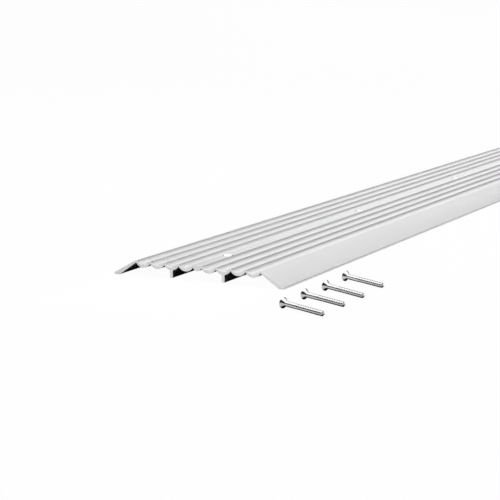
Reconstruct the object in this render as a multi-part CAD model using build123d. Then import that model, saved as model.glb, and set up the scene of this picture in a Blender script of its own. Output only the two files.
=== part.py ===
from build123d import *
from math import asin, atan, atan2, cos, degrees, hypot, radians, sin, sqrt, tan
import os

# Fluted saddle threshold: one aluminium extrusion that lies across a doorway, and its four loose screws.
# Millimetres. The origin is the middle of the strip, at floor level. +X runs across the doorway, from the
# middle towards the side where the screws lie. +Y runs along the strip. +Z is up.

# The strip is a standard size: 6 in wide, 1/2 in high and 36 in long.
strip_width = 152.4
strip_height = 12.7
strip_length = 914.4

# The tread has a flat land in the middle, and flutes on each side that meet in narrow rounded crests.
flutes_per_side = 4
flute_pitch = 13.0
flute_depth = 3.1
crest_radius = 0.9
land_half_width = 3.7

# Under the tread, each flute shows as a round bump, and the bumps meet in notches under the crests.
web_thickness = 2.5
land_thickness = 4.6
bump_radius = 7.6
notch_radius = 0.4

# The ramps run down from the outer crests to flat feet with a low rounded nose.
foot_width = 4.7
nose_height = 1.4
nose_radius = 0.6

# The two legs stand under the second flute on each side of the land, and end a little above the floor.
leg_flute = 1
leg_thickness = 2.4
leg_clearance = 1.0
leg_root_radius = 0.8

# The screw holes are on the centre line, the outer ones 2 in from the ends.
hole_count = 4
hole_end_distance = 50.8
hole_diameter = 4.8
countersink_diameter = 9.2
countersink_angle = 82.0

# The screws are No. 8 flat-head wood screws, 1 5/8 in long, with a No. 2 cross recess.
screw_length = 41.3
head_diameter = 8.4
head_rim_height = 0.35
head_root_radius = 2.0

# A plain shank fills the first third. The thread is a helical groove cut down to the core's diameter.
shank_diameter = 4.25
shank_end = 13.8
shank_step_length = 0.3
core_diameter = 3.0
thread_diameter = 4.1
thread_pitch = 1.7
thread_start = 14.6
thread_root_width = 1.2
thread_crest_width = 0.3

# The thread stops short of the tip, fades out over a short cone, and leaves a plain point.
thread_tip_distance = 2.0
thread_fade_length = 0.4
point_base_radius = 1.0
point_tip_radius = 0.15

# The cross recess has four wings with sloping floors.
recess_width = 4.4
recess_floor_width = 1.4
recess_slot_width = 1.1
recess_depth = 2.2

# How close a corner is to where it is looked for, and how far a cutter stands out of what it cuts.
tolerance = 0.01
cutter_excess = 0.15

# Where the screws lie: the x and y of the middle of the head, the angle from +X that the point faces,
# and the turn of the screw about its own axis, in degrees.
screw_places = [
    (105.3, -519.0, -18.5, 20.0),
    (105.6, -483.9, -18.5, 75.0),
    (106.3, -447.9, -20.4, 50.0),
    (104.6, -406.6, -19.8, 5.0),
]

# The wave of the tread is made of arcs that touch: each crest turns through wave_angle on each side of
# its top, and the flute between two crests turns back by the same angle.
wave_angle = 2 * atan(flute_depth / (flute_pitch / 2))
crest_places = [land_half_width + k * flute_pitch for k in range(flutes_per_side + 1)]
outer_crest = crest_places[-1]

flute_bottom = strip_height - flute_depth
bump_bottom = flute_bottom - web_thickness
land_bottom = strip_height - land_thickness
notch_top = bump_bottom + bump_radius - sqrt(bump_radius**2 - (flute_pitch / 2) ** 2)
notch_rise = notch_top - land_bottom
land_bump_radius = (land_half_width**2 + notch_rise**2) / (2 * notch_rise)

# The ramp touches the outer crest's arc and runs straight to the top of the nose.
nose_run = strip_width / 2 - outer_crest
nose_drop = strip_height - crest_radius - nose_height
ramp_angle = atan2(nose_drop, nose_run) + asin(crest_radius / hypot(nose_run, nose_drop))

# A screw lies on the rim of its head and on the last full turn of its thread, so it tilts.
thread_end = screw_length - thread_tip_distance
full_thread_end = thread_end - thread_fade_length
lying_length = full_thread_end - head_rim_height
lying_tilt = atan((head_diameter - thread_diameter) / 2 / lying_length)
head_height = head_diameter / 2 * cos(lying_tilt) + head_rim_height * sin(lying_tilt)


def on_crest(x, angle):
    """A point on the crest at x, at this angle from its top, positive towards +X."""
    centre_height = strip_height - crest_radius
    return (x + crest_radius * sin(angle), centre_height + crest_radius * cos(angle))


def tread_top():
    """The top outline, from the middle of the land out to the nose."""
    lines = [Line((0, strip_height), (land_half_width, strip_height))]
    for x in crest_places[:-1]:
        next_x = x + flute_pitch
        down = on_crest(x, wave_angle)
        up = on_crest(next_x, -wave_angle)
        lines.append(ThreePointArc((x, strip_height), on_crest(x, wave_angle / 2), down))
        lines.append(ThreePointArc(down, (x + flute_pitch / 2, flute_bottom), up))
        lines.append(ThreePointArc(up, on_crest(next_x, -wave_angle / 2), (next_x, strip_height)))
    ramp_start = on_crest(outer_crest, ramp_angle)
    middle = on_crest(outer_crest, ramp_angle / 2)
    lines.append(ThreePointArc((outer_crest, strip_height), middle, ramp_start))
    lines.append(Line(ramp_start, (strip_width / 2, nose_height)))
    return lines


def tread_underside():
    """The foot, the ramp's underside and the bumps, from the nose back to the middle."""
    foot_inner = (strip_width / 2 - foot_width, 0)
    lines = [
        Line((strip_width / 2, nose_height), (strip_width / 2, 0)),
        Line((strip_width / 2, 0), foot_inner),
        Line(foot_inner, (outer_crest, notch_top)),
    ]
    for x in reversed(crest_places[:-1]):
        middle = (x + flute_pitch / 2, bump_bottom)
        lines.append(ThreePointArc((x + flute_pitch, notch_top), middle, (x, notch_top)))
    lines.append(RadiusArc((land_half_width, notch_top), (0, land_bottom), land_bump_radius))
    lines.append(Line((0, land_bottom), (0, strip_height)))
    return lines


def leg():
    """One leg, from its bottom up into the web of its flute."""
    top = flute_bottom - web_thickness / 2
    middle = (crest_places[leg_flute] + flute_pitch / 2, (leg_clearance + top) / 2)
    return Pos(*middle) * Rectangle(leg_thickness, top - leg_clearance)


def is_notch(corner):
    """Whether a corner of the section is the top of a notch under a crest."""
    beside = min(abs(abs(corner.X) - x) for x in crest_places)
    return beside < tolerance and abs(corner.Y - notch_top) < tolerance


def is_leg_root(corner):
    """Whether a corner of the section is where a leg meets its bump."""
    beside = abs(abs(corner.X) - crest_places[leg_flute] - flute_pitch / 2)
    return abs(beside - leg_thickness / 2) < tolerance and corner.Y > 2 * leg_clearance


def is_nose(corner):
    """Whether a corner of the section is the top of a foot's nose."""
    return abs(abs(corner.X) - strip_width / 2) < tolerance and corner.Y > nose_height / 2


def section():
    """The closed section of the extrusion, the same on both sides of the middle."""
    half = make_face(Wire(tread_top() + tread_underside())) + leg()
    whole = half + mirror(half, about=Plane.YZ)
    whole = fillet(whole.vertices().filter_by(is_notch), notch_radius)
    whole = fillet(whole.vertices().filter_by(is_leg_root), leg_root_radius)
    return fillet(whole.vertices().filter_by(is_nose), nose_radius)


def screw_hole():
    """The space of one countersunk hole, with its middle at the tread's top."""
    cone_height = countersink_diameter / 2 / tan(radians(countersink_angle / 2))
    cone = Cone(0, countersink_diameter / 2, cone_height, align=(Align.CENTER, Align.CENTER, Align.MAX))
    return cone + Cylinder(hole_diameter / 2, 2 * strip_height)


def threshold_strip():
    """The extrusion, cut to length, with its screw holes."""
    strip = extrude(Plane.XZ * section(), strip_length / 2, both=True)
    first_hole = hole_end_distance - strip_length / 2
    hole_pitch = (strip_length - 2 * hole_end_distance) / (hole_count - 1)
    for k in range(hole_count):
        strip -= Pos(0, first_hole + k * hole_pitch, strip_height) * screw_hole()
    return strip


def screw_blank():
    """The head, shank, threaded length and point, as one turned shape with its head's face at z = 0."""
    head_radius = head_diameter / 2
    shank_radius = shank_diameter / 2
    thread_radius = thread_diameter / 2
    cone_bottom = head_rim_height + (head_radius - shank_radius) / tan(radians(countersink_angle / 2))
    outline = Polyline(
        (0, 0),
        (head_radius, 0),
        (head_radius, head_rim_height),
        (shank_radius, cone_bottom),
        (shank_radius, shank_end),
        (thread_radius, shank_end + shank_step_length),
        (thread_radius, full_thread_end),
        (point_base_radius, thread_end),
        (point_tip_radius, screw_length),
        (0, screw_length),
        close=True,
    )
    profile = make_face(outline)
    root = profile.vertices().filter_by(lambda corner: abs(corner.Y - cone_bottom) < tolerance)
    return revolve(Plane.XZ * fillet(root, head_root_radius), Axis.Z)


def thread_groove():
    """The helical space between the turns of the thread, which runs out over the point."""
    core_radius = core_diameter / 2
    path = Helix(thread_pitch, screw_length - thread_start, core_radius, center=(0, 0, thread_start))
    across = Plane(origin=path @ 0, x_dir=(1, 0, 0), z_dir=path % 0)
    thread_height = thread_diameter / 2 - core_radius
    flank_slope = (thread_root_width - thread_crest_width) / 2 / thread_height
    floor_half_width = (thread_pitch - thread_root_width) / 2
    mouth_height = thread_height + cutter_excess
    mouth_half_width = floor_half_width + mouth_height * flank_slope
    section = Polygon(
        (0, -floor_half_width),
        (mouth_height, -mouth_half_width),
        (mouth_height, mouth_half_width),
        (0, floor_half_width),
        align=None,
    )
    return sweep(across * section, path=path, is_frenet=True)


def cross_recess():
    """The space of the cross recess: two crossing wings with sloping floors."""
    wing = Polyline(
        (-recess_width / 2, -cutter_excess),
        (recess_width / 2, -cutter_excess),
        (recess_width / 2, 0),
        (recess_floor_width / 2, recess_depth),
        (-recess_floor_width / 2, recess_depth),
        (-recess_width / 2, 0),
        close=True,
    )
    slot = extrude(Plane.XZ * make_face(wing), recess_slot_width / 2, both=True)
    return slot + Rot(0, 0, 90) * slot


def screw():
    """One screw, standing on its head's face with its point up."""
    return screw_blank() - thread_groove() - cross_recess()


def lay_screw(shape, x, y, facing, turn):
    """The screw, lying on the floor with the middle of its head's face over this place."""
    lie_down = Rot(0, 90 + degrees(lying_tilt), 0)
    return Pos(x, y, head_height) * Rot(0, 0, facing) * lie_down * Rot(0, 0, turn) * shape


os.makedirs("parts", exist_ok=True)
export_step(threshold_strip(), "parts/threshold_strip.step")
standing_screw = screw()
for number, place in enumerate(screw_places, start=1):
    export_step(lay_screw(standing_screw, *place), f"parts/screw_{number}.step")
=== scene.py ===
from math import asin, atan, atan2, cos, hypot, pi, radians, sin, tan

import bmesh
import bpy
import numpy as np
from mathutils import Matrix, Vector


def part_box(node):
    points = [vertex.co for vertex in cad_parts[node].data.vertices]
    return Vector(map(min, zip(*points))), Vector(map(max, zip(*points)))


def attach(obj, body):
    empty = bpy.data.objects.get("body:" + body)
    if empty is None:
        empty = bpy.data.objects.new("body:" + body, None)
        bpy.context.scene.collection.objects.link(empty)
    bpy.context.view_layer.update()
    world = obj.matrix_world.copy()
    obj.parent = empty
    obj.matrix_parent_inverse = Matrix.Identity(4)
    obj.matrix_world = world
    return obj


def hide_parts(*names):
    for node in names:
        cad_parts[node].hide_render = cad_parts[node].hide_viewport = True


# A fluted saddle threshold of mill-finish aluminium, with its four loose wood screws.
# Everything is in metres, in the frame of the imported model: +X across the doorway, +Y along the strip.

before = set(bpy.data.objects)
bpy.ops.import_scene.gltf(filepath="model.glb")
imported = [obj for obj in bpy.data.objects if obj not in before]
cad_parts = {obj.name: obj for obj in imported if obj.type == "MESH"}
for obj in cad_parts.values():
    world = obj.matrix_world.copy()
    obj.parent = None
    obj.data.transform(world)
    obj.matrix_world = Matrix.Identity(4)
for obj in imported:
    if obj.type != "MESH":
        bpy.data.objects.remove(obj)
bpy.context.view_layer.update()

MM = 0.001

# The strip's overall size comes from the frame. The rest is its section, as the design states it.
strip_low, strip_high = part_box("threshold_strip")
strip_width = strip_high.x - strip_low.x
strip_height = strip_high.z - strip_low.z
strip_length = strip_high.y - strip_low.y

flutes_per_side = 4
flute_pitch = 13.0 * MM
flute_depth = 3.1 * MM
crest_radius = 0.9 * MM
land_half_width = 3.7 * MM
web_thickness = 2.5 * MM
land_thickness = 4.6 * MM
bump_radius = 7.6 * MM
foot_width = 4.7 * MM
nose_height = 1.4 * MM
leg_flute = 1
leg_thickness = 2.4 * MM
leg_clearance = 1.0 * MM

# How far each corner of the section is cut back where it is rounded, and the bevel of the sawn ends.
nose_setback = 0.35 * MM
notch_setback = 0.3 * MM
leg_root_setback = 0.8 * MM
edge_setback = 0.2 * MM
end_bevel = 0.12 * MM

hole_count = 4
hole_end_distance = 50.8 * MM
hole_radius = 2.4 * MM
countersink_radius = 4.6 * MM
countersink_slope = tan(radians(41))

# The screws, No. 8 by 1 5/8 in.
screw_length = 41.3 * MM
head_radius = 4.2 * MM
head_rim_height = 0.35 * MM
head_rim_bevel = 0.08 * MM
head_root_radius = 2.0 * MM
shank_radius = 2.125 * MM
shank_end = 13.8 * MM
shank_step_length = 0.3 * MM
core_radius = 1.5 * MM
thread_radius = 2.05 * MM
thread_pitch = 1.7 * MM
thread_start = 14.6 * MM
thread_end = screw_length - 2.0 * MM
thread_fade_length = 0.4 * MM
thread_root_width = 1.2 * MM
thread_crest_width = 0.3 * MM
thread_edge = 0.05 * MM
point_base_radius = 1.0 * MM
point_tip_radius = 0.15 * MM
recess_half_width = 2.2 * MM
recess_floor_half_width = 0.7 * MM
recess_slot_half_width = 0.55 * MM
recess_depth = 2.2 * MM

# Where each screw lies: x and y of the middle of its head, the angle from +X that its point faces, and
# its turn about its own axis, in degrees.
screw_places = {
    "screw_1": (105.3 * MM, -519.0 * MM, -18.5, 20.0),
    "screw_2": (105.6 * MM, -483.9 * MM, -18.5, 75.0),
    "screw_3": (106.3 * MM, -447.9 * MM, -20.4, 50.0),
    "screw_4": (104.6 * MM, -406.6 * MM, -19.8, 5.0),
}

# How finely the round shapes are divided.
corner_steps = 5
crest_steps = 7
flute_steps = 26
bump_steps = 14
ramp_crest_steps = 5
land_bump_steps = 8
stations_per_hole = 15
turned_segments = 64
head_root_steps = 8
shank_rings = 10
threaded_rings = 20
steps_per_turn = 40

# Edges sharper than these stay sharp in the shading.
strip_sharp_angle = radians(28)
screw_sharp_angle = radians(30)

# How far cutters stand out of what they cut.
hole_cutter_excess = 1 * MM
recess_cutter_excess = 0.3 * MM

# How far around each hole the tread's faces are divided.
hole_margin = 1.4 * MM

# Which faces count as cut: how near a hole and how low they may be, and how squarely they face its axis.
cut_margin = 0.05 * MM
cut_depth_margin = 1 * MM
cut_facing = 0.6

# How squarely a face at an end has to face along the strip to count as sawn.
sawn_facing = 0.5

# How far the corners of a piece's box may be from those of its CAD node.
box_slack = 0.2 * MM

# The camera: its place in metres, its turns in degrees, and its lens and sensor in millimetres.
camera_place = (0.58386, -1.4971, 0.2332)
camera_heading = 27.31
camera_fall = 9.92
camera_roll = -0.42
camera_lens = 111.46
camera_sensor = 36

# How much of the floor's brightness, as the camera sees it, is even light.
even_share = 0.97

# The floor, which bends up into the backdrop, by distances in metres along the camera's heading.
floor_near = -6.0
floor_far = 5.0
floor_half_width = 9.0
backdrop_height = 5.0
backdrop_bend_radius = 1.5
backdrop_bend_steps = 12

# The cards on the floor: dark ones are painted shade under the strip and under the screws, and a glowing
# one lights the near end.
card_height = 0.1 * MM
card_margin = 2 * MM
screw_shadow_card_half_width = 3 * MM
end_card_length = 120 * MM
end_card_glow = 0.8

wave_angle = 2 * atan(flute_depth / (flute_pitch / 2))
flute_radius = flute_pitch / 2 / sin(wave_angle) - crest_radius
crest_places = [land_half_width + k * flute_pitch for k in range(flutes_per_side + 1)]
flute_bottom = strip_height - flute_depth
bump_bottom = flute_bottom - web_thickness
bump_angle = asin(flute_pitch / 2 / bump_radius)
notch_top = bump_bottom + bump_radius * (1 - cos(bump_angle))
land_bottom = strip_height - land_thickness


def arc(centre_x, centre_z, radius, start, end, steps):
    """Points on an arc, by the angle from straight up, positive towards +X."""
    angles = np.linspace(start, end, steps + 1)
    return [(centre_x + radius * sin(a), centre_z + radius * cos(a)) for a in angles]


def chained(runs):
    """Several runs of points as one, without the points that they share."""
    points = list(runs[0])
    for run in runs[1:]:
        points += run[1:]
    return points


def top_run():
    """The top outline, from the middle of the land out to the nose."""
    crest_height = strip_height - crest_radius
    runs = [[(0, strip_height), (land_half_width, strip_height)]]
    for x in crest_places[:-1]:
        middle = x + flute_pitch / 2
        centre_height = flute_bottom + flute_radius
        runs.append(arc(x, crest_height, crest_radius, 0, wave_angle, crest_steps))
        runs.append(arc(middle, centre_height, flute_radius, pi + wave_angle, pi - wave_angle, flute_steps))
        runs.append(arc(x + flute_pitch, crest_height, crest_radius, -wave_angle, 0, crest_steps))
    outer = crest_places[-1]
    run_out = strip_width / 2 - outer
    drop = crest_height - nose_height
    ramp_angle = atan2(drop, run_out) + asin(crest_radius / hypot(run_out, drop))
    runs.append(arc(outer, crest_height, crest_radius, 0, ramp_angle, ramp_crest_steps))
    runs.append([runs[-1][-1], (strip_width / 2, nose_height)])
    return chained(runs)


def bump_run(index, start, end):
    """The underside of one flute between two x places, counted from the flute's middle."""
    middle = crest_places[index] + flute_pitch / 2
    first = pi - asin(start / bump_radius)
    last = pi - asin(end / bump_radius)
    return arc(middle, bump_bottom + bump_radius, bump_radius, first, last, bump_steps)


def right_side():
    """Runs of the right half of the section, each with the setback of the corner that follows it."""
    half = flute_pitch / 2
    half_leg = leg_thickness / 2
    nose_x = strip_width / 2
    runs = [
        (top_run(), nose_setback),
        ([(nose_x, nose_height), (nose_x, 0)], edge_setback),
        ([(nose_x, 0), (nose_x - foot_width, 0)], edge_setback),
        ([(nose_x - foot_width, 0), (crest_places[-1], notch_top)], notch_setback),
    ]
    for index in reversed(range(flutes_per_side)):
        if index != leg_flute:
            runs.append((bump_run(index, half, -half), notch_setback))
            continue
        right = bump_run(index, half, half_leg)
        left = bump_run(index, -half_leg, -half)
        root_z = right[-1][1]
        leg_right, leg_left = right[-1][0], left[0][0]
        runs += [
            (right, leg_root_setback),
            ([(leg_right, root_z), (leg_right, leg_clearance)], edge_setback),
            ([(leg_right, leg_clearance), (leg_left, leg_clearance)], edge_setback),
            ([(leg_left, leg_clearance), (leg_left, root_z)], leg_root_setback),
            (left, notch_setback),
        ]
    rise = notch_top - land_bottom
    radius = (land_half_width**2 + rise**2) / (2 * rise)
    half_angle = asin(land_half_width / radius)
    runs.append((arc(0, land_bottom + radius, radius, pi - half_angle, pi, land_bump_steps), 0))
    return runs


def cut_back(points, setback):
    """The points without the last stretch of this length."""
    points = list(points)
    while True:
        (ax, az), (bx, bz) = points[-2], points[-1]
        step = hypot(bx - ax, bz - az)
        if step > setback:
            share = setback / step
            points[-1] = (bx + (ax - bx) * share, bz + (az - bz) * share)
            return points
        setback -= step
        points.pop()


def rounded_outline(runs):
    """The runs joined into one line, with each corner between them rounded."""
    outline = []
    start_setback = 0
    for number, (points, setback) in enumerate(runs):
        if start_setback:
            points = cut_back(points[::-1], start_setback)[::-1]
        corner = points[-1]
        if setback:
            points = cut_back(points, setback)
        outline += points if number == 0 or start_setback else points[1:]
        if setback:
            follower = cut_back(runs[number + 1][0][::-1], setback)[-1]
            bend = np.array([points[-1], corner, follower])
            for t in np.linspace(0, 1, corner_steps + 1)[1:-1]:
                outline.append(tuple(np.array([(1 - t) ** 2, 2 * t * (1 - t), t * t]) @ bend))
        start_setback = setback
    return outline


def section_outline():
    """The closed outline of the extrusion as an array of x and z, with no point twice."""
    right = rounded_outline(right_side())
    left = [(-x, z) for x, z in right[-2:0:-1]]
    return np.array(right + left)


def inset(outline, depth):
    """The outline moved inwards by this depth."""
    ahead = np.roll(outline, -1, axis=0) - outline
    behind = outline - np.roll(outline, 1, axis=0)
    ahead /= np.linalg.norm(ahead, axis=1)[:, None]
    behind /= np.linalg.norm(behind, axis=1)[:, None]
    along = ahead + behind
    along /= np.linalg.norm(along, axis=1)[:, None]
    inwards = np.stack([along[:, 1], -along[:, 0]], axis=1)
    x, z = outline.T
    area = np.sum(x * np.roll(z, -1) - np.roll(x, -1) * z)
    return outline + (inwards if area < 0 else -inwards) * depth


def hole_places():
    """The y of each screw hole."""
    first = strip_low.y + hole_end_distance
    pitch = (strip_length - 2 * hole_end_distance) / (hole_count - 1)
    return [first + k * pitch for k in range(hole_count)]


def stations():
    """Where along y the section is repeated: at the ends, and closely around each hole."""
    places = [strip_low.y + end_bevel, strip_high.y - end_bevel]
    reach = countersink_radius + hole_margin
    for y in hole_places():
        places += list(np.linspace(y - reach, y + reach, stations_per_hole))
    return sorted(places)


def new_object(name, mesh):
    """An object for this mesh, in the scene."""
    thing = bpy.data.objects.new(name, mesh)
    bpy.context.scene.collection.objects.link(thing)
    return thing


def mesh_from_rings(name, rings):
    """A closed mesh through rings of points of equal number, with a face at each end."""
    count = len(rings[0])
    vertices = [point for ring in rings for point in ring]
    faces = [tuple(range(count)), tuple((len(rings) - 1) * count + k for k in reversed(range(count)))]
    for r in range(len(rings) - 1):
        for k in range(count):
            low, high = r * count, (r + 1) * count
            after = (k + 1) % count
            faces.append((low + k, high + k, high + after, low + after))
    mesh = bpy.data.meshes.new(name)
    mesh.from_pydata([tuple(v) for v in vertices], [], faces)
    build = bmesh.new()
    build.from_mesh(mesh)
    bmesh.ops.recalc_face_normals(build, faces=build.faces)
    build.to_mesh(mesh)
    build.free()
    return mesh


def turned(name, profile):
    """A closed shape turned about z through points of radius and height, open ends closed flat."""
    turns = [2 * pi * k / turned_segments for k in range(turned_segments)]
    rings = []
    for radius, height in profile:
        rings.append([(radius * cos(a), radius * sin(a), height) for a in turns])
    return mesh_from_rings(name, rings)


def cut(base, tool):
    """Cuts the tool out of base, and removes the tool."""
    modifier = base.modifiers.new("cut", "BOOLEAN")
    modifier.operation = "DIFFERENCE"
    modifier.solver = "EXACT"
    modifier.object = tool
    depsgraph = bpy.context.evaluated_depsgraph_get()
    mesh = bpy.data.meshes.new_from_object(base.evaluated_get(depsgraph))
    base.modifiers.clear()
    base.data = mesh
    bpy.data.objects.remove(tool)


def smooth_below(mesh, angle):
    """Shades faces smooth, and keeps edges sharper than this angle."""
    build = bmesh.new()
    build.from_mesh(mesh)
    for face in build.faces:
        face.smooth = True
    for edge in build.edges:
        edge.smooth = len(edge.link_faces) == 2 and edge.calc_face_angle(0) < angle
    build.to_mesh(mesh)
    build.free()


def make_strip():
    """The whole extrusion with its countersunk holes."""
    outline = section_outline()
    small = inset(outline, end_bevel)
    rings = [[(x, strip_low.y, z) for x, z in small]]
    for y in stations():
        rings.append([(x, y, z) for x, z in outline])
    rings.append([(x, strip_high.y, z) for x, z in small])
    strip = new_object("fluted_strip", mesh_from_rings("fluted_strip", rings))
    cone_depth = (countersink_radius - hole_radius) / countersink_slope
    profile = [
        (hole_radius, -strip_height),
        (hole_radius, -cone_depth),
        (countersink_radius + hole_cutter_excess * countersink_slope, hole_cutter_excess),
    ]
    for y in hole_places():
        cutter = new_object("cutter", turned("cutter", profile))
        cutter.location = (0, y, strip_height)
        bpy.context.view_layer.update()
        cut(strip, cutter)
    smooth_below(strip.data, strip_sharp_angle)
    return strip


def screw_blank():
    """The head, shank, threaded length and point as one turned mesh, with the head's face at z = 0."""
    slope = atan(countersink_slope)
    cone_bottom = head_rim_height + (head_radius - shank_radius) / countersink_slope
    arc_height = cone_bottom + head_root_radius * tan(slope / 2)
    arc_radius = shank_radius + head_root_radius
    profile = [
        (head_radius - head_rim_bevel, 0),
        (head_radius, head_rim_bevel),
        (head_radius, head_rim_height),
    ]
    for a in np.linspace(slope, 0, head_root_steps):
        profile.append((arc_radius - head_root_radius * cos(a), arc_height - head_root_radius * sin(a)))
    profile += [(shank_radius, height) for height in np.linspace(arc_height, shank_end, shank_rings)[1:]]
    full_thread_end = thread_end - thread_fade_length
    step_end = shank_end + shank_step_length
    heights = np.linspace(step_end, full_thread_end, threaded_rings)
    profile += [(thread_radius, height) for height in heights]
    profile += [(point_base_radius, thread_end), (point_tip_radius, screw_length)]
    return turned("screw", profile)


def thread_groove():
    """The helical space between the turns of the thread, as a cutter that eases the crest's edges."""
    count = int((screw_length - thread_start) / thread_pitch * steps_per_turn)
    floor_half = (thread_pitch - thread_root_width) / 2
    crest_half = (thread_pitch - thread_crest_width) / 2
    mouth_half = crest_half + 2 * thread_edge
    section = [
        (core_radius, -floor_half),
        (thread_radius - thread_edge, -crest_half),
        (thread_radius + thread_edge, -mouth_half),
        (thread_radius + thread_edge, mouth_half),
        (thread_radius - thread_edge, crest_half),
        (core_radius, floor_half),
    ]
    rings = []
    for k in range(count + 1):
        angle = 2 * pi * k / steps_per_turn
        height = thread_start + thread_pitch * k / steps_per_turn
        rings.append([(r * cos(angle), r * sin(angle), height + across) for r, across in section])
    return new_object("cutter", mesh_from_rings("cutter", rings))


def recess_wing(turn):
    """One wing of the cross recess, as a cutter that stands a little above the head's face."""
    side = [
        (-recess_half_width, -recess_cutter_excess),
        (-recess_half_width, 0),
        (-recess_floor_half_width, recess_depth),
        (recess_floor_half_width, recess_depth),
        (recess_half_width, 0),
        (recess_half_width, -recess_cutter_excess),
    ]
    rings = []
    direction = Matrix.Rotation(turn, 3, "Z")
    for across in (-recess_slot_half_width, recess_slot_half_width):
        rings.append([direction @ Vector((x, across, z)) for x, z in side])
    return new_object("cutter", mesh_from_rings("cutter", rings))


def make_screw_mesh():
    """The mesh of one whole screw, standing on its head's face."""
    shape = new_object("screw", screw_blank())
    cut(shape, thread_groove())
    for turn in (0, pi / 2):
        cut(shape, recess_wing(turn))
    mesh = shape.data
    bpy.data.objects.remove(shape)
    smooth_below(mesh, screw_sharp_angle)
    mesh.materials.clear()
    mesh.materials.append(plated_steel())
    standing = mesh.attributes.new("standing_place", "FLOAT_VECTOR", "POINT")
    standing.data.foreach_set("vector", [value for vertex in mesh.vertices for value in vertex.co])
    return mesh


def lie_down(x, y, facing, turn):
    """The matrix that lays a screw on the floor, on its head's rim and the end of its thread."""
    lying_length = thread_end - thread_fade_length - head_rim_height
    tilt = atan((head_radius - thread_radius) / lying_length)
    head_height = head_radius * cos(tilt) + head_rim_height * sin(tilt)
    place = Matrix.Translation((x, y, head_height))
    heading = Matrix.Rotation(radians(facing), 4, "Z")
    fall = Matrix.Rotation(pi / 2 + tilt, 4, "Y")
    return place @ heading @ fall @ Matrix.Rotation(radians(turn), 4, "Z")


def check_box(piece, node):
    """Stops the script if a piece isn't where its CAD node is."""
    bpy.context.view_layer.update()
    corners = np.array([piece.matrix_world @ v.co for v in piece.data.vertices])
    low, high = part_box(node)
    miss = max(abs(corners.min(0) - np.array(low)).max(), abs(corners.max(0) - np.array(high)).max())
    if miss > box_slack:
        raise ValueError(f"{piece.name} is {miss / MM:.2f} mm away from the node {node}")


class Shader:
    """A material with a Principled shader, and short ways to add nodes to it."""

    def __init__(self, name, colour, roughness):
        self.material = bpy.data.materials.new(name)
        self.material.use_nodes = True
        self.tree = self.material.node_tree
        self.surface = self.tree.nodes["Principled BSDF"]
        self.surface.inputs["Base Color"].default_value = (*colour, 1)
        self.surface.inputs["Roughness"].default_value = roughness
        self.surface.inputs["Metallic"].default_value = 1.0

    def add(self, kind, **inputs):
        """A new node. An input takes a number, a tuple or another node's output."""
        node = self.tree.nodes.new(kind)
        for key, value in inputs.items():
            socket = node.inputs[key.replace("_", " ")]
            if isinstance(value, bpy.types.NodeSocket):
                self.tree.links.new(value, socket)
            else:
                socket.default_value = value
        return node

    def noise(self, scale, detail=3.0, stored=None):
        """Noise over object coordinates, or over stored ones, stretched by this scale in x, y and z."""
        if stored is None:
            place = self.add("ShaderNodeTexCoord").outputs["Object"]
        else:
            source = self.add("ShaderNodeAttribute")
            source.attribute_name = stored
            place = source.outputs["Vector"]
        mapping = self.add("ShaderNodeMapping", Vector=place, Scale=scale)
        return self.add("ShaderNodeTexNoise", Vector=mapping.outputs["Vector"], Scale=1.0, Detail=detail)

    def spread(self, value, low, high):
        """The middle of a noise's range, spread between two values."""
        node = self.add("ShaderNodeMapRange", Value=value, From_Min=0.3, From_Max=0.7)
        node.inputs["To Min"].default_value = low
        node.inputs["To Max"].default_value = high
        return node.outputs["Result"]

    def tint(self, value, low, high):
        """A colour between two colours."""
        node = self.tree.nodes.new("ShaderNodeMix")
        node.data_type = "RGBA"
        self.tree.links.new(value, node.inputs["Factor"])
        node.inputs["A"].default_value = (*low, 1)
        node.inputs["B"].default_value = (*high, 1)
        return node.outputs["Result"]

    def bump(self, height, distance, before=None):
        """A bump of this height in metres, over another bump if there is one."""
        node = self.add("ShaderNodeBump", Height=height, Distance=distance, Strength=1.0)
        if before is not None:
            self.tree.links.new(before, node.inputs["Normal"])
        return node.outputs["Normal"]

    def set(self, key, value):
        """Feeds the shader's socket from a node."""
        self.tree.links.new(value, self.surface.inputs[key])


def mill_aluminium():
    """Extruded aluminium as it leaves the die: fine lines along y, and a faint cloudy oxide."""
    shader = Shader("mill_aluminium", (0.91, 0.91, 0.915), 0.36)
    fine = shader.noise((2600, 9, 2600)).outputs["Fac"]
    broad = shader.noise((420, 2.5, 420)).outputs["Fac"]
    cloud = shader.noise((26, 9, 26), detail=4.0).outputs["Fac"]
    shader.set("Base Color", shader.tint(cloud, (0.885, 0.885, 0.89), (0.935, 0.935, 0.935)))
    shader.set("Roughness", shader.spread(broad, 0.33, 0.40))
    lines = shader.bump(fine, 0.006 * MM)
    shader.set("Normal", shader.bump(broad, 0.02 * MM, before=lines))
    return shader.material


def sawn_aluminium():
    """The saw-cut ends: brighter metal with close tooth marks that lean across the section."""
    shader = Shader("sawn_aluminium", (0.9, 0.9, 0.9), 0.3)
    marks = shader.noise((900, 900, 5200), detail=2.0)
    marks.inputs["Distortion"].default_value = 0.4
    cloud = shader.noise((160, 160, 160)).outputs["Fac"]
    shader.set("Base Color", shader.tint(cloud, (0.89, 0.89, 0.89), (0.95, 0.95, 0.95)))
    shader.set("Roughness", shader.spread(marks.outputs["Fac"], 0.26, 0.38))
    shader.set("Normal", shader.bump(marks.outputs["Fac"], 0.02 * MM))
    return shader.material


def cut_aluminium():
    """The countersinks: bright metal with rings left by the cutter."""
    shader = Shader("cut_aluminium", (0.8, 0.8, 0.805), 0.15)
    rings = shader.noise((40, 40, 7000), detail=1.0).outputs["Fac"]
    shader.set("Roughness", shader.spread(rings, 0.1, 0.2))
    shader.set("Normal", shader.bump(rings, 0.01 * MM))
    return shader.material


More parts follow.
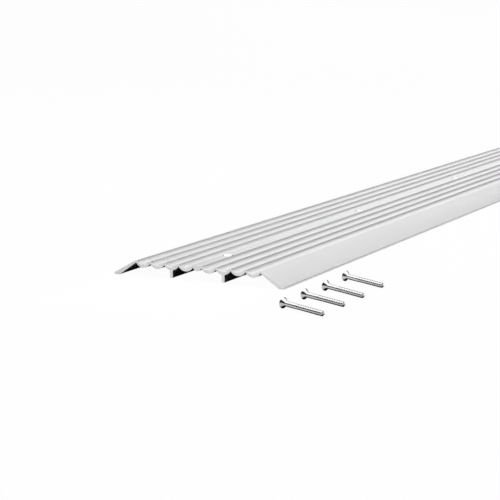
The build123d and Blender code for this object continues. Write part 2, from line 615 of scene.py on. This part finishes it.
def plated_steel():
    """Bright zinc plating, faintly cloudy, with drawing marks around the screw."""
    shader = Shader("plated_steel", (0.78, 0.78, 0.775), 0.2)
    cloud = shader.noise((300, 300, 300), detail=4.0, stored="standing_place").outputs["Fac"]
    rings = shader.noise((60, 60, 4200), detail=2.0, stored="standing_place").outputs["Fac"]
    shader.set("Base Color", shader.tint(cloud, (0.70, 0.70, 0.69), (0.83, 0.83, 0.835)))
    shader.set("Roughness", shader.spread(cloud, 0.14, 0.26))
    shader.set("Normal", shader.bump(rings, 0.008 * MM))
    return shader.material


def paint_strip(strip):
    """Gives the strip its three finishes: as extruded, sawn at the ends and cut in the holes."""
    for make in (mill_aluminium, sawn_aluminium, cut_aluminium):
        strip.data.materials.append(make())
    near_hole = countersink_radius + cut_margin
    for face in strip.data.polygons:
        x, y, _ = face.center
        from_end = strip_length / 2 - abs(y - (strip_low.y + strip_high.y) / 2)
        from_hole = min(hypot(x, y - place) for place in hole_places())
        if from_end < end_bevel and abs(face.normal.y) > sawn_facing:
            face.material_index = 1
        elif from_hole < near_hole and is_cut(face, x, y):
            face.material_index = 2


def is_cut(face, x, y):
    """Whether a face near a hole faces the hole's axis, as its cone and wall do and the tread doesn't."""
    place = min(hole_places(), key=lambda each: abs(each - y))
    inwards = Vector((-x, place - y, 0)).normalized()
    return face.normal.dot(inwards) > cut_facing and face.center.z > land_bottom - cut_depth_margin


def make_objects():
    """Every piece of the object, each on its body, and standing for its CAD node."""
    strip = make_strip()
    paint_strip(strip)
    check_box(strip, "threshold_strip")
    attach(strip, "strip")
    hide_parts("threshold_strip")
    screw_mesh = make_screw_mesh()
    for name, place in screw_places.items():
        screw = new_object(f"wood_{name}", screw_mesh.copy())
        screw.data.transform(lie_down(*place))
        check_box(screw, name)
        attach(screw, name)
        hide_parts(name)


def make_camera():
    """A long lens, low in front of the near end and to its right."""
    camera = bpy.data.cameras.new("camera")
    camera.sensor_width = camera_sensor
    camera.lens = camera_lens
    camera.clip_end = 100
    eye = new_object("camera", camera)
    turn = Matrix.Rotation(radians(camera_heading), 4, "Z")
    tip = Matrix.Rotation(radians(90 - camera_fall), 4, "X")
    roll = Matrix.Rotation(radians(camera_roll), 4, "Z")
    eye.matrix_world = Matrix.Translation(camera_place) @ turn @ tip @ roll
    bpy.context.scene.camera = eye


def light_table(name):
    """The floor's matt white, which the camera sees as evenly lit, with only a trace of shadow."""
    shader = Shader(name, (0.85, 0.85, 0.85), 0.9)
    shader.surface.inputs["Metallic"].default_value = 0.0
    shader.surface.inputs["Specular IOR Level"].default_value = 0.1
    glow = shader.add("ShaderNodeEmission", Color=(1, 1, 1, 1), Strength=1.0).outputs["Emission"]
    seen = shader.add("ShaderNodeLightPath").outputs["Is Camera Ray"]
    share = shader.add("ShaderNodeMath")
    share.operation = "MULTIPLY"
    share.inputs[1].default_value = even_share
    shader.tree.links.new(seen, share.inputs[0])
    mixed = shader.add("ShaderNodeMixShader", Fac=share.outputs["Value"])
    shader.tree.links.new(shader.surface.outputs["BSDF"], mixed.inputs[1])
    shader.tree.links.new(glow, mixed.inputs[2])
    output = shader.tree.nodes["Material Output"]
    shader.tree.links.new(mixed.outputs["Shader"], output.inputs["Surface"])
    return shader.material


def make_stage():
    """A white floor that curves up into a backdrop behind the strip."""
    radius = backdrop_bend_radius
    bend_start = floor_far - radius
    line = [(floor_near, 0), (bend_start, 0)]
    for a in np.linspace(0, pi / 2, backdrop_bend_steps + 1)[1:]:
        line.append((bend_start + radius * sin(a), radius - radius * cos(a)))
    line.append((floor_far, backdrop_height))
    turn = Matrix.Rotation(radians(camera_heading), 4, "Z")
    vertices = []
    for y, z in line:
        vertices += [turn @ Vector((side * floor_half_width, y, z)) for side in (-1, 1)]
    faces = [(2 * k, 2 * k + 1, 2 * k + 3, 2 * k + 2) for k in range(len(line) - 1)]
    mesh = bpy.data.meshes.new("studio_floor")
    mesh.from_pydata([tuple(v) for v in vertices], [], faces)
    for face in mesh.polygons:
        face.use_smooth = True
    mesh.materials.append(light_table("white_floor"))
    new_object("studio_floor", mesh)


def floor_card(name, corners, glow=0.0):
    """A card on the floor, dark or glowing, which the camera doesn't see, though the metal near it does: a
    dark one is painted shade that the metal reflects, a glowing one lights the metal.
    """
    mesh = bpy.data.meshes.new(name)
    mesh.from_pydata([(x, y, card_height) for x, y in corners], [], [(0, 1, 2, 3)])
    shader = Shader(name, (0.01, 0.01, 0.01), 0.9)
    shader.surface.inputs["Metallic"].default_value = 0.0
    shader.surface.inputs["Emission Color"].default_value = (1, 1, 1, 1)
    shader.surface.inputs["Emission Strength"].default_value = glow
    mesh.materials.append(shader.material)
    card = new_object(name, mesh)
    card.visible_camera = False
    card.visible_shadow = False


def make_cards():
    """Dark cards under the strip and under each screw, painted shade for the metal to reflect, and a bright
    one in front of the near end that lights it.
    """
    x_side = strip_high.x - card_margin
    near_y = strip_low.y + card_margin
    far_y = strip_high.y - card_margin
    # The strip's card is painted shade: the undersides reflect it as black, as the shade beneath the strip
    # would look.
    floor_card("shade_card_strip", [(-x_side, near_y), (x_side, near_y), (x_side, far_y), (-x_side, far_y)])
    # Each screw's card is a painted shadow beneath it, which darkens the lower side of the screw's
    # reflection.
    for name, (x, y, facing, _) in screw_places.items():
        along = Vector((cos(radians(facing)), sin(radians(facing))))
        across = Vector((-along.y, along.x)) * screw_shadow_card_half_width
        start = Vector((x, y))
        end = start + along * screw_length
        floor_card(f"card_{name}", [start - across, end - across, end + across, start + across])
    front_y = strip_low.y - end_card_length
    back_y = strip_low.y - card_margin
    corners = [(-x_side, front_y), (x_side, front_y), (x_side, back_y), (-x_side, back_y)]
    floor_card("card_end", corners, end_card_glow)


def make_light(name, place, target, size, power):
    """A soft light of this width and depth, at a place, facing its target."""
    light = bpy.data.lights.new(name, "AREA")
    light.shape = "RECTANGLE"
    light.size, light.size_y = size
    light.energy = power
    lamp = new_object(name, light)
    direction = Vector(target) - Vector(place)
    lamp.matrix_world = Matrix.Translation(place) @ direction.to_track_quat("-Z", "Y").to_matrix().to_4x4()


def make_lights():
    """A wide ceiling light, one behind to the left, one on the backdrop, and an almost dark room."""
    make_light("ceiling", (0, -0.3, 1.5), (0, -0.3, 0), (6.0, 2.4), 60)
    make_light("back_left", (-1.0, 3.6, 1.25), (0, -0.2, 0), (2.4, 2.2), 7.4)
    make_light("backdrop_light", (0.5, 2.6, 3.4), (0.3, 4.6, 1.2), (3.5, 1.0), 86)
    world = bpy.data.worlds.new("studio")
    world.use_nodes = True
    world.node_tree.nodes["Background"].inputs["Color"].default_value = (1, 1, 1, 1)
    world.node_tree.nodes["Background"].inputs["Strength"].default_value = 0.02
    bpy.context.scene.world = world


make_camera()
make_objects()
make_stage()
make_cards()
make_lights()
bpy.context.scene.view_settings.view_transform = "Standard"
